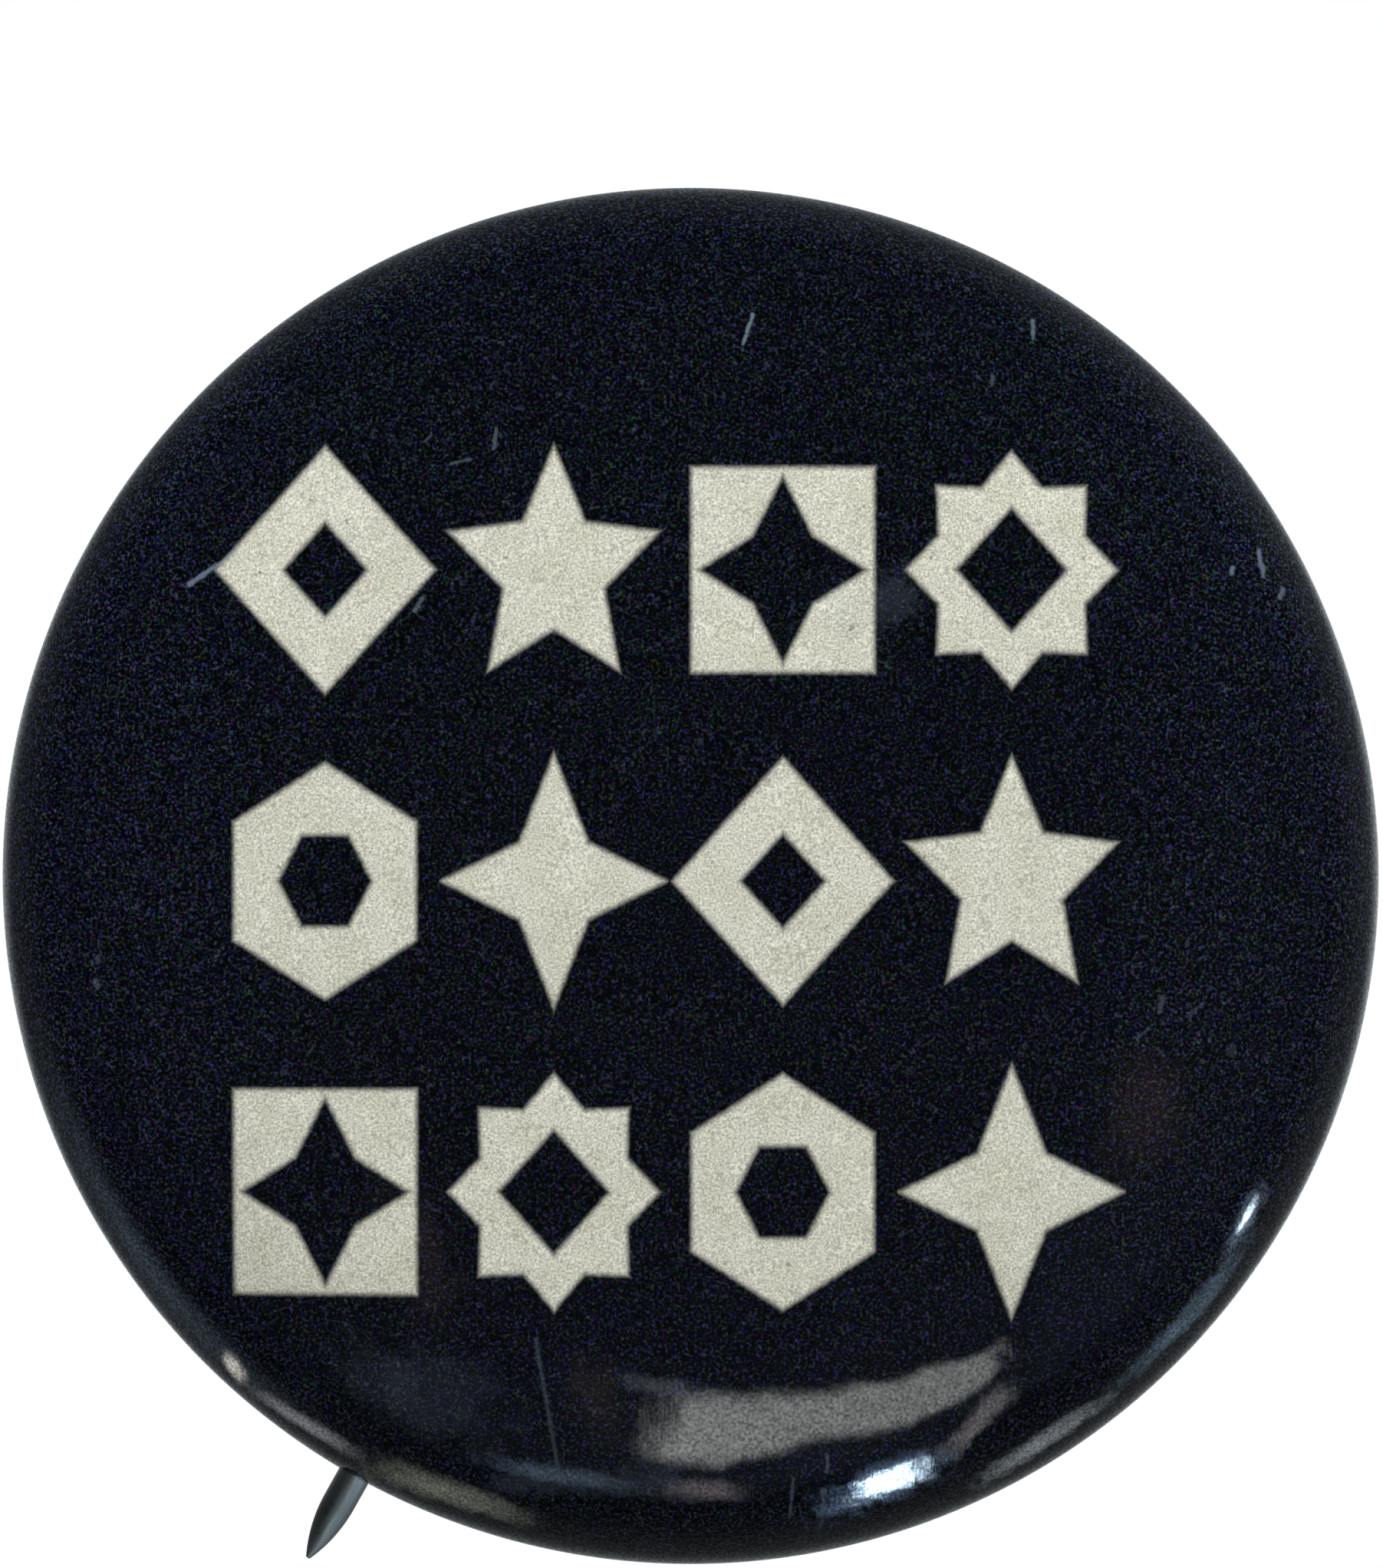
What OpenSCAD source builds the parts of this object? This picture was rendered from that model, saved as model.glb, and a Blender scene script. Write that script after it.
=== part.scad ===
// Pin-back button badge: a domed shell in printed paper and clear film, a pressed-in collet and
// a one-piece spring-wire pin. Millimetres, as worn: the face looks along -Y and +Z is up.
// The origin is where the closed pin's centre line crosses the badge's own axis.

/* [Badge] */
// Outside diameter of the badge
badge_d = 31.75; // [31:0.05:33]
// Slope of the face where the crown meets the shoulder, in degrees
crown_edge_deg = 5; // [4.5:0.1:6]
// Slope of the face where the shoulder meets the rim, in degrees
shoulder_edge_deg = 22; // [20:1:24]
// Radius of the shoulder between the crown and the rim
shoulder_r = 14; // [12:0.5:15]
// Radius of the rim's turn into the skirt
rim_r = 2.1; // [1.9:0.05:2.3]
// Height of the straight skirt's top above the back
skirt_h = 1.15; // [1.1:0.05:1.4]

/* [Layers] */
// Thickness of the clear film
film_t = 0.22; // [0.18:0.01:0.25]
// Thickness of the printed paper
paper_t = 0.12; // [0.1:0.01:0.15]
// Thickness of the shell's sheet metal
shell_t = 0.28; // [0.25:0.01:0.32]
// How far the covering's hem follows the rim inside the shell, in degrees
hem_deg = 35; // [10:5:40]

/* [Collet] */
// Thickness of the collet's sheet metal
collet_t = 0.3; // [0.25:0.01:0.32]
// Radius of the opening in the back
opening_r = 12.6; // [12.2:0.1:12.8]
// How far the collet's rear face lies inside the back plane
collet_recess = 0.1; // [0.05:0.01:0.12]
// Outside radius of the collet's rounded corners
collet_corner_r = 0.5; // [0.45:0.01:0.55]
// Width of the collet's front lip
collet_lip_w = 1.0; // [0.9:0.05:1.2]

/* [Pin] */
// Diameter of the spring wire
wire_d = 0.8; // [0.76:0.01:0.84]
// Direction of the pin's point, counterclockwise from +X as seen from the front, in degrees
pin_deg = 240.7; // [0:0.1:360]
// Distance of the point's tip from the badge's axis, as seen from the front
tip_reach = 18.14; // [17.5:0.01:19]
// Distance of the wire's straight leg from the badge's axis
leg_reach = 10.6; // [10.3:0.1:10.8]
// Length of leg that turns with the arm, from the arm's centre line
leg_l = 2.2; // [2:0.1:3]
// Radius of the bend between the leg and the arm
arm_bend_r = 1.2; // [1.1:0.1:1.4]
// Radius of the bend between the leg and the ring
ring_bend_r = 5; // [4:0.5:6]
// Angle that the wire ring covers in the collet, without its bend, in degrees
ring_sweep_deg = 280; // [240:5:290]
// Length of the ground point
point_l = 1.5; // [1.3:0.1:3.5]
// Distance past the badge's axis at which the shank starts its slight taper
taper_start = 9; // [8:0.1:9.5]
// Gap between the closed pin and the collet's rear face
rest_gap = 0.06; // [0.05:0.01:0.1]

/* [Hidden] */
$fn = 96;

badge_r = badge_d / 2;
wire_r = wire_d / 2;
// clearances: between layers, between collet and hem, round the wire in its channel, and at the flex point
layer_gap = 0.01;
collet_gap = 0.02;
channel_gap = 0.03;
flex_gap = 0.02;
// the wire's bends are a hair thinner than its straight parts and lap into both of their neighbours
bend_wire_r = wire_r - 0.003;
bend_lap = 0.05;
// radii of the shank where the point starts and of the blunted tip
point_start_r = wire_r * 0.96;
tip_r = 0.05;

// crown radius that brings the three arcs of the face out to the badge's radius
crown_r = (badge_r - shoulder_r * (sin(shoulder_edge_deg) - sin(crown_edge_deg))
    - rim_r * (1 - sin(shoulder_edge_deg))) / sin(crown_edge_deg);
badge_h = skirt_h + crown_r * (1 - cos(crown_edge_deg))
    + shoulder_r * (cos(crown_edge_deg) - cos(shoulder_edge_deg)) + rim_r * cos(shoulder_edge_deg);

// depth of each surface below the film's outer face, and the round that the covering makes at the back
paper_out = film_t + layer_gap;
paper_in = paper_out + paper_t;
shell_out = paper_in + layer_gap;
shell_in = shell_out + shell_t;
wrap_r = (shell_out + shell_in) / 2;

// the collet's channel, as radii from the badge's axis and heights above the back plane
collet_r = badge_r - 2 * wrap_r - collet_gap;
channel_r = collet_r - collet_t;
ring_r = channel_r - channel_gap - wire_r;
wire_h = collet_recess + collet_t + channel_gap + wire_r;
collet_top = wire_h + wire_r + channel_gap + collet_t;
collet_inner_corner_r = collet_corner_r - collet_t;

// the arm's slope, and the distance of the back plane behind the origin
arm_rest_h = wire_r + rest_gap - collet_recess;
arm_deg = atan((wire_h + arm_rest_h) / (leg_reach + opening_r));
back_y = wire_h - leg_reach * tan(arm_deg);

// where the ring's bend is centred: it touches the leg's line and the ring's circle
bend_x = ring_bend_r - leg_reach;
bend_z = sqrt(pow(ring_r - ring_bend_r, 2) - bend_x * bend_x);
bend_end_deg = atan2(bend_z, bend_x);

// lengths along the arm, from the leg's axis
shank_l = (leg_reach + taper_start) / cos(arm_deg);
arm_l = (leg_reach + tip_reach) / cos(arm_deg);

// points of an arc, from one angle to another; an arc that carries on from another leaves out its first point
function arc(cx, cy, r, from, to, steps, first = 0) =
    [for (i = [first : steps]) let (a = from + (to - from) * i / steps) [cx + r * cos(a), cy + r * sin(a)]];

// the badge's front and skirt, from the axis to the back, at a depth below the film's outer face
function front_track(depth) = let (
    crown_end = 90 - crown_edge_deg,
    shoulder_end = 90 - shoulder_edge_deg,
    crown_h = badge_h - crown_r,
    shoulder_x = (crown_r - shoulder_r) * cos(crown_end),
    shoulder_h = crown_h + (crown_r - shoulder_r) * sin(crown_end)
) concat(
    arc(0, crown_h, crown_r - depth, 90, crown_end, 5),
    arc(shoulder_x, shoulder_h, shoulder_r - depth, crown_end, shoulder_end, 6, first = 1),
    arc(badge_r - rim_r, skirt_h, rim_r - depth, shoulder_end, 0, 8, first = 1)
);

// the round at the back, from the skirt inwards, at a depth below the film's outer face
function wrap_track(depth) = arc(badge_r - wrap_r, wrap_r, wrap_r - depth, 0, -180, 8);

// the hem, from the skirt's inside to its end under the rim, at a depth below the film's outer face
function hem_track(depth) = arc(badge_r - rim_r, skirt_h, rim_r - depth, 0, hem_deg, 4);

function reversed(points) = [for (i = [len(points) - 1 : -1 : 0]) points[i]];

// section of a covering layer between two depths: over the face, round the back and up the hem
function covering_outline(outer, inner) = concat(
    front_track(outer), wrap_track(outer), hem_track(2 * wrap_r - outer),
    reversed(hem_track(2 * wrap_r - inner)), reversed(wrap_track(inner)), reversed(front_track(inner))
);

// section of the shell, whose raw edge is the round that the covering wraps
function shell_outline() = concat(
    front_track(shell_out), wrap_track(shell_out), reversed(front_track(shell_in))
);

// section of the ground point: a tangent arc that starts at the shank's end
function point_outline() = let (
    drop = point_start_r - tip_r,
    round_r = (point_l * point_l + drop * drop) / (2 * drop)
) arc(point_start_r - round_r, arm_l - point_l, round_r, 0, asin(point_l / round_r), 12);

// turns a section of radius and height about the badge's axis, with the height measured forward
module about_axis(h = 0) {
    translate([0, back_y - h, 0])
    rotate([90, 0, 0])
    children();
}

// the wire's own directions: X towards the point, Z along the leg
module wire_frame() {
    rotate([0, -pin_deg, 0])
    children();
}

module shell() {
    color("#8f8a7c")
    about_axis()
    rotate_extrude()
    polygon(shell_outline());
}

module printed_paper() {
    color("#12171f")
    about_axis()
    rotate_extrude()
    polygon(covering_outline(paper_out, paper_in));
}

module clear_film() {
    color("#2a3038", 0.5)
    about_axis()
    rotate_extrude()
    polygon(covering_outline(0, film_t));
}

// a channel section, open towards the badge's axis
module collet() {
    wall_low = collet_recess + collet_corner_r;
    wall_high = collet_top - collet_corner_r;
    corner_x = collet_r - collet_corner_r;
    nose_r = collet_t / 2;
    color("#a39c88")
    about_axis()
    rotate_extrude()
    polygon(concat(
        arc(corner_x, wall_low, collet_corner_r, -90, 0, 5),
        arc(corner_x, wall_high, collet_corner_r, 0, 90, 5),
        arc(collet_r - collet_lip_w + nose_r, collet_top - nose_r, nose_r, 90, 270, 6),
        arc(corner_x, wall_high, collet_inner_corner_r, 90, 0, 3),
        arc(corner_x, wall_low, collet_inner_corner_r, 0, -90, 3),
        arc(opening_r + nose_r, collet_recess + nose_r, nose_r, 90, 270, 6)
    ));
}

// a bend in the wire, in the XY plane about the origin, from one angle to another
module wire_bend(bend_r, from, to) {
    lap_deg = bend_lap / bend_r * 180 / PI;
    rotate_extrude(start = from - lap_deg, angle = to - from + 2 * lap_deg)
    translate([bend_r, 0])
    circle(bend_wire_r, $fn = 32);
}

// the part of the wire that stays in the collet: the fixed half of the leg, its bend and the split ring
module pin_ring() {
    color("#8c9091")
    wire_frame()
    about_axis(wire_h)
    union() {
        translate([-leg_reach, leg_l + flex_gap, 0])
        rotate([-90, 0, 0])
        cylinder(r = wire_r, h = bend_z - leg_l - flex_gap);
        translate([bend_x, bend_z, 0])
        wire_bend(ring_bend_r, bend_end_deg, 180);
        rotate_extrude(start = bend_end_deg - ring_sweep_deg, angle = ring_sweep_deg)
        translate([ring_r, 0])
        circle(wire_r, $fn = 32);
    }
}

// the part of the wire that swings: the other half of the leg, the bend, the shank and the point
module pin_arm() {
    color("#7b7f80")
    wire_frame()
    translate([-leg_reach, back_y - wire_h, 0])
    rotate([0, 0, arm_deg])
    union() {
        translate([0, 0, arm_bend_r])
        cylinder(r = wire_r, h = leg_l - arm_bend_r);
        translate([arm_bend_r, 0, arm_bend_r])
        rotate([-90, 0, 0])
        wire_bend(arm_bend_r, 90, 180);
        rotate([0, 90, 0])
        rotate_extrude()
        polygon(concat(
            [[0, arm_bend_r], [wire_r, arm_bend_r], [wire_r, shank_l]],
            point_outline(),
            [[0, arm_l]]
        ));
    }
}

shell();
printed_paper();
clear_film();
collet();
pin_ring();
pin_arm();
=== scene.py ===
"""Looks of the pin-back button badge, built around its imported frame.

Lengths are in millimetres unless a comment says otherwise.
"""

import math
import random

import bmesh
import bpy
from mathutils import Matrix, Vector


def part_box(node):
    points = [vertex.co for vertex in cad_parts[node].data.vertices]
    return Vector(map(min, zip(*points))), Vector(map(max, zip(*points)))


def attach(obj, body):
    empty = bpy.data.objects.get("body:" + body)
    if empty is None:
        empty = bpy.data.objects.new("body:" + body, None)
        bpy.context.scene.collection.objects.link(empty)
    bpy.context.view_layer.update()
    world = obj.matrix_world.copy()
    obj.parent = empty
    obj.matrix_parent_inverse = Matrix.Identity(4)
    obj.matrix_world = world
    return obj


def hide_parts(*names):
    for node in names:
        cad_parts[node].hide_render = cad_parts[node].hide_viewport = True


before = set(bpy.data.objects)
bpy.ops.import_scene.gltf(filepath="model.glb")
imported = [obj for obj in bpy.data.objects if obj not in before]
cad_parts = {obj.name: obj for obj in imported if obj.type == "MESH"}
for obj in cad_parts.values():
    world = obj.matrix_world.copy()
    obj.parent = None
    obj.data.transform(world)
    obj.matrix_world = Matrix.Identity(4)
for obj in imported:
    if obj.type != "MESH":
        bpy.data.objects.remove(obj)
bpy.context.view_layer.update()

MM = 0.001
DEG = math.pi / 180

# ---------------------------------------------------------------- sizes, as the CAD has them
film_low, film_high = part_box("clear_film")
BADGE_R = film_high.x / MM
BACK_Y = film_high.y / MM
BADGE_H = (film_high.y - film_low.y) / MM

CROWN_EDGE, SHOULDER_EDGE = 5 * DEG, 22 * DEG
SHOULDER_R, RIM_R, SKIRT_H = 14.0, 2.1, 1.15
FILM_T, PAPER_T, SHELL_T, LAYER_GAP = 0.22, 0.12, 0.28, 0.01
HEM = 35 * DEG
COLLET_T, OPENING_R, COLLET_RECESS = 0.3, 12.6, 0.1
COLLET_CORNER_R, COLLET_LIP_W, COLLET_GAP, CHANNEL_GAP = 0.5, 1.0, 0.02, 0.03
WIRE_R, PIN, TIP_REACH, LEG_REACH, LEG_L = 0.4, 240.7 * DEG, 18.14, 10.6, 2.2
ARM_BEND_R, RING_BEND_R, RING_SWEEP = 1.2, 5.0, 280 * DEG
POINT_L, TAPER_START, REST_GAP = 1.5, 9.0, 0.06
POINT_START_R, TIP_R = 0.96 * WIRE_R, 0.05

CROWN_R = (BADGE_R - SHOULDER_R * (math.sin(SHOULDER_EDGE) - math.sin(CROWN_EDGE))
           - RIM_R * (1 - math.sin(SHOULDER_EDGE))) / math.sin(CROWN_EDGE)
CROWN_X = CROWN_R * math.sin(CROWN_EDGE)
SHOULDER_X = (CROWN_R - SHOULDER_R) * math.sin(CROWN_EDGE)
SHOULDER_OUT = SHOULDER_X + SHOULDER_R * math.sin(SHOULDER_EDGE)
CROWN_C = BADGE_H - CROWN_R
SHOULDER_C = CROWN_C + (CROWN_R - SHOULDER_R) * math.cos(CROWN_EDGE)

PAPER_OUT = FILM_T + LAYER_GAP
PAPER_IN = PAPER_OUT + PAPER_T
SHELL_OUT = PAPER_IN + LAYER_GAP
SHELL_IN = SHELL_OUT + SHELL_T
WRAP_R = (SHELL_OUT + SHELL_IN) / 2
COLLET_R = BADGE_R - 2 * WRAP_R - COLLET_GAP
CHANNEL_R = COLLET_R - COLLET_T
RING_R = CHANNEL_R - CHANNEL_GAP - WIRE_R
WIRE_H = COLLET_RECESS + COLLET_T + CHANNEL_GAP + WIRE_R
COLLET_TOP = WIRE_H + WIRE_R + CHANNEL_GAP + COLLET_T
ARM_SLOPE = math.atan((WIRE_H + WIRE_R + REST_GAP - COLLET_RECESS) / (LEG_REACH + OPENING_R))
SHANK_L = (LEG_REACH + TAPER_START) / math.cos(ARM_SLOPE)
ARM_L = (LEG_REACH + TIP_REACH) / math.cos(ARM_SLOPE)
ARM_RUN = LEG_L + ARM_L - (2 - math.pi / 2) * ARM_BEND_R        # the arm's length, round its bend
FRONT_Y = BACK_Y - SKIRT_H                                      # the print and marks lie forward of it

LATHE_STEPS, COVERING_STEPS = 240, 480                          # round the axis

# ---------------------------------------------------------------- camera
camera_data = bpy.data.cameras.new("camera")
camera_data.sensor_width = 36
camera_data.lens = 348.3
camera_data.clip_start, camera_data.clip_end = 0.01, 10         # metres
camera = bpy.data.objects.new("camera", camera_data)
camera.location = (0.00002, -0.35086, 0.00212)                  # metres
camera.rotation_euler = (90 * DEG, 0, 0)
bpy.context.scene.collection.objects.link(camera)
bpy.context.scene.camera = camera
bpy.context.scene.view_settings.view_transform = "Standard"


# ---------------------------------------------------------------- node helpers
class Nodes:
    """Writes a node tree as nested calls. A value is a socket, a number or a tuple."""

    def __init__(self, tree):
        self.tree = tree
        tree.nodes.clear()

    def put(self, socket, value):
        if isinstance(value, bpy.types.NodeSocket):
            self.tree.links.new(value, socket)
        elif value is not None:
            socket.default_value = value

    def add(self, kind, values=(), out=0, **settings):
        node = self.tree.nodes.new(kind)
        for key, value in settings.items():
            setattr(node, key, value)
        items = values.items() if isinstance(values, dict) else enumerate(values)
        for key, value in items:
            self.put(node.inputs[key], value)
        return node.outputs[out]

    def math(self, operation, *values, clamp=False):
        return self.add("ShaderNodeMath", values, operation=operation, use_clamp=clamp)

    def vector(self, operation, *values):
        out = 1 if operation in ("DOT_PRODUCT", "LENGTH", "DISTANCE") else 0
        return self.add("ShaderNodeVectorMath", values, out=out, operation=operation)

    def scale(self, vector, factor):
        """A vector or a colour times a number."""
        return self.add("ShaderNodeVectorMath", {0: vector, 3: factor}, operation="SCALE")

    def xyz(self, x=0.0, y=0.0, z=0.0):
        return self.add("ShaderNodeCombineXYZ", (x, y, z))

    def split(self, vector):
        out = self.add("ShaderNodeSeparateXYZ", (vector,))
        return tuple(out.node.outputs)

    def ramp(self, value, low, high, to_low=0.0, to_high=1.0, smooth=True):
        return self.add("ShaderNodeMapRange", (value, low, high, to_low, to_high),
                        interpolation_type="SMOOTHSTEP" if smooth else "LINEAR")

    def noise(self, vector, scale, detail=2.0, roughness=0.5, colour=False, distortion=0.0):
        return self.add("ShaderNodeTexNoise",
                        {"Vector": vector, "Scale": scale, "Detail": detail, "Roughness": roughness,
                         "Distortion": distortion}, out=1 if colour else 0)

    def mix(self, factor, a, b):
        """Mixes two colours."""
        return self.add("ShaderNodeMix", {0: factor, 6: a, 7: b}, out=2, data_type="RGBA")

    def choose(self, factor, a, b):
        """Mixes two numbers."""
        return self.add("ShaderNodeMix", {0: factor, 2: a, 3: b}, out=0, data_type="FLOAT")

    def bump(self, height, distance, strength=1.0, normal=None):
        return self.add("ShaderNodeBump", {"Height": height, "Distance": distance, "Strength": strength,
                                           "Normal": normal})

    def place(self):
        """The place on the object, in millimetres."""
        return self.scale(self.add("ShaderNodeTexCoord", out=3), 1000.0)

    def end(self, shader, kind="ShaderNodeOutputMaterial"):
        self.put(self.tree.nodes.new(kind).inputs["Surface"], shader)


def material(name):
    made = bpy.data.materials.new(name)
    made.use_nodes = True
    return made, Nodes(made.node_tree)


# ---------------------------------------------------------------- printed paper
SHAPE_PITCH_X, SHAPE_PITCH_Z = 5.24, 7.12
SHAPES_LEFT, SHAPES_TOP = -0.51 - 2 * SHAPE_PITCH_X, -0.1 + 1.5 * SHAPE_PITCH_Z
SHAPE_TALL = 1.12                                               # height over width
INK_EDGE = 0.09                                                 # half the print's soft edge
CREAM, OLD_CREAM = (0.79, 0.785, 0.70, 1), (0.73, 0.72, 0.62, 1)
GRAIN, TOOTH = 15.0, 19.0                                       # per millimetre


def star(n, place, points, outer, inner, spin=90 * DEG):
    """Distance outside a regular star, or a polygon where inner is outer * cos(pi / points)."""
    x, _, z = n.split(place)
    half = math.pi / points
    angle = n.math("PINGPONG", n.math("SUBTRACT", n.math("ARCTAN2", z, x), spin), half)
    reach = n.vector("LENGTH", place)
    tip, notch = Vector((outer, 0)), Vector((inner * math.cos(half), inner * math.sin(half)))
    side = (notch - tip).normalized()
    out = Vector((-side.y, side.x))
    if out.x < 0:
        out = -out
    along = n.math("MULTIPLY", n.math("COSINE", angle), out.x)
    across = n.math("MULTIPLY_ADD", n.math("SINE", angle), out.y, along)
    return n.math("SUBTRACT", n.math("MULTIPLY", across, reach), out.dot(tip))


def polygon(n, place, sides, outer, spin=90 * DEG):
    return star(n, place, sides, outer, outer * math.cos(math.pi / sides), spin)


def pierced(n, shape, hole):
    return n.math("MAXIMUM", shape, n.math("MULTIPLY", hole, -1.0))


def print_mask(n, place):
    """1 on the printed shapes: three rows of four, each a plain figure."""
    wobble = n.noise(place, 6.0, 2.0)
    x, _, z = n.split(place)
    column = n.math("DIVIDE", n.math("SUBTRACT", x, SHAPES_LEFT), SHAPE_PITCH_X)
    row = n.math("DIVIDE", n.math("SUBTRACT", SHAPES_TOP, z), SHAPE_PITCH_Z)
    cell_x, cell_z = n.math("FLOOR", column), n.math("FLOOR", row)
    aside, below = (n.math("SUBTRACT", n.math("FRACT", count), 0.5) for count in (column, row))
    cell = (SHAPE_PITCH_X, 1.0, -SHAPE_PITCH_Z / SHAPE_TALL)
    here = n.vector("MULTIPLY", n.xyz(aside, 0.0, below), cell)
    figures = [
        pierced(n, polygon(n, here, 4, 2.5), polygon(n, here, 4, 1.0)),
        star(n, here, 5, 2.5, 1.2),
        pierced(n, polygon(n, here, 4, 2.95, 45 * DEG), star(n, here, 4, 1.95, 1.0)),
        pierced(n, star(n, here, 8, 2.4, 1.8), polygon(n, here, 4, 1.3)),
        pierced(n, polygon(n, here, 6, 2.4), polygon(n, here, 6, 1.1, 60 * DEG)),
        star(n, here, 4, 2.55, 1.1),
    ]
    order = n.math("MULTIPLY_ADD", cell_z, 4.0, cell_x)
    kind = n.math("FLOORED_MODULO", order, float(len(figures)))
    distance = figures[0]
    for index, figure in enumerate(figures[1:], 1):
        distance = n.choose(n.math("COMPARE", kind, float(index), 0.5), distance, figure)
    distance = n.math("MULTIPLY_ADD", n.math("SUBTRACT", wobble, 0.5), 0.05, distance)
    inside = n.ramp(distance, INK_EDGE, -INK_EDGE)
    in_columns, in_rows = n.math("COMPARE", cell_x, 1.5, 1.6), n.math("COMPARE", cell_z, 1.0, 1.1)
    on_grid = n.math("MULTIPLY", in_columns, in_rows)
    front = n.math("LESS_THAN", n.split(place)[1], FRONT_Y)
    return n.math("MULTIPLY", n.math("MULTIPLY", inside, on_grid), front)


def printed_ground(n, place):
    """The dark printed ground: near-black blue, a little greener at the top and lighter towards the
    left and right edges, with the print's grain.
    """
    drift = n.ramp(n.noise(place, 0.16, 3.0), 0.35, 0.65)
    x, _, z = n.split(place)
    ground = n.mix(n.ramp(z, -4.0, 13.0), (0.0042, 0.0076, 0.0152, 1), (0.0037, 0.0085, 0.0162, 1))
    ground = n.mix(n.math("MULTIPLY", drift, 0.6), ground, (0.0034, 0.0056, 0.0148, 1))
    # lighter by up to half towards the left and right edges
    ground = n.scale(ground, n.ramp(n.math("ABSOLUTE", x), 7.0, 13.0, 1.0, 1.5))
    grain = n.mix(0.4, n.noise(place, GRAIN, 1.0), n.noise(place, GRAIN, 1.0, colour=True))
    grain = n.vector("MULTIPLY_ADD", grain, (10.5,) * 3, (-4.65,) * 3)
    grain = n.vector("MAXIMUM", grain, (0.05,) * 3)
    ground = n.vector("MULTIPLY", ground, n.vector("MULTIPLY", grain, grain))
    fleck = n.ramp(n.noise(place, 9.0, 1.0), 0.74, 0.8)
    return n.mix(n.math("MULTIPLY", fleck, 0.35), ground, (0.05, 0.07, 0.1, 1))


def paper_material():
    made, n = material("printed_paper")
    place = n.place()
    mask, ground = print_mask(n, place), printed_ground(n, place)
    tooth = n.noise(place, TOOTH, 2.0)
    cream = n.mix(n.ramp(n.noise(place, 1.1, 3.0), 0.35, 0.7), CREAM, OLD_CREAM)
    cream = n.scale(cream, n.ramp(tooth, 0.3, 0.7, 0.6, 1.36, smooth=False))
    speck = n.ramp(n.noise(place, 3.4, 2.0), 0.715, 0.76)
    cream = n.mix(n.math("MULTIPLY", speck, 0.55), cream, (0.16, 0.15, 0.13, 1))
    colour = n.mix(mask, ground, cream)
    normal = n.bump(tooth, 0.000006, 0.5)
    n.end(n.add("ShaderNodeBsdfPrincipled", {
        "Base Color": colour, "Roughness": 0.62, "Specular IOR Level": 0.1, "Normal": normal}))
    return made


# ---------------------------------------------------------------- clear film
RIM_START, RIM_BLEND = 14.0, 0.7
FILM_IOR = 1.5
MARKS = [  # start x, start z, end x, end z, half width, strength
    (-11.5, 6.7, -10.48, 7.37, 0.06, 0.42),
    (-6.3, 6.1, -6.15, 6.35, 0.07, 0.22),
    (-4.5, 9.8, -4.45, 10.25, 0.05, 0.20),
    (-5.5, 9.45, -5.05, 9.55, 0.04, 0.16),
    (-6.1, 9.95, -5.95, 10.1, 0.04, 0.14),
    (1.42, 12.86, 1.2, 12.19, 0.05, 0.42),
    (7.85, 12.75, 7.87, 12.35, 0.06, 0.32),
    (6.93, 11.45, 6.9, 11.25, 0.06, 0.14),
    (12.44, 7.08, 12.42, 6.95, 0.06, 0.36),
    (13.05, 7.45, 13.15, 6.9, 0.07, 0.38),
    (13.6, 6.6, 13.52, 6.4, 0.07, 0.3),
    (3.6, 6.0, 4.7, 6.4, 0.65, 0.05),
    (-13.56, -1.85, -13.57, -1.95, 0.08, 0.12),
    (-13.63, -2.42, -13.62, -2.52, 0.08, 0.12),
    (10.8, -2.78, 10.71, -3.13, 0.06, 0.12),
    (10.45, -3.51, 10.22, -3.7, 0.05, 0.10),
    (11.73, -2.9, 11.39, -3.2, 0.06, 0.09),
    (12.4, -3.93, 12.4, -4.03, 0.12, 0.06),
    (-3.55, -10.6, -3.05, -13.5, 0.06, 0.10),
    (-4.4, -13.95, -0.5, -13.8, 0.3, 0.05),
    # the last three are painted highlights: streaks of light beside the lamp's reflection, drawn as
    # pale haze
    (3.05, -14.1, 3.0, -14.9, 0.07, 0.16),
    (2.35, -13.8, 2.28, -14.7, 0.05, 0.13),
    (3.15, -13.3, 3.13, -13.65, 0.05, 0.17),
]


def mark_mask(n, place):
    """Scratches and nicks in the film, and painted highlight streaks beside the lamp's reflection: how
    far the nearest one shows.
    """
    x, y, z = n.split(place)
    flat = n.xyz(x, 0.0, z)
    ragged = n.noise(place, 5.0, 3.0)
    total = 0.0
    for x0, z0, x1, z1, width, strength in MARKS:
        run = Vector((x1 - x0, 0, z1 - z0))
        offset = n.vector("SUBTRACT", flat, (x0, 0, z0))
        along = n.vector("DOT_PRODUCT", offset, tuple(run))
        share = n.math("MULTIPLY", along, 1 / run.length_squared, clamp=True)
        gap = n.vector("DISTANCE", offset, n.scale(tuple(run), share))
        gap = n.math("MULTIPLY_ADD", n.math("SUBTRACT", ragged, 0.5), width * 2.2, gap)
        total = n.math("MAXIMUM", total, n.ramp(gap, width * 1.3, width * 0.2, 0.0, strength))
    front = n.math("LESS_THAN", y, FRONT_Y)
    return n.math("MULTIPLY", total, front)


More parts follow.
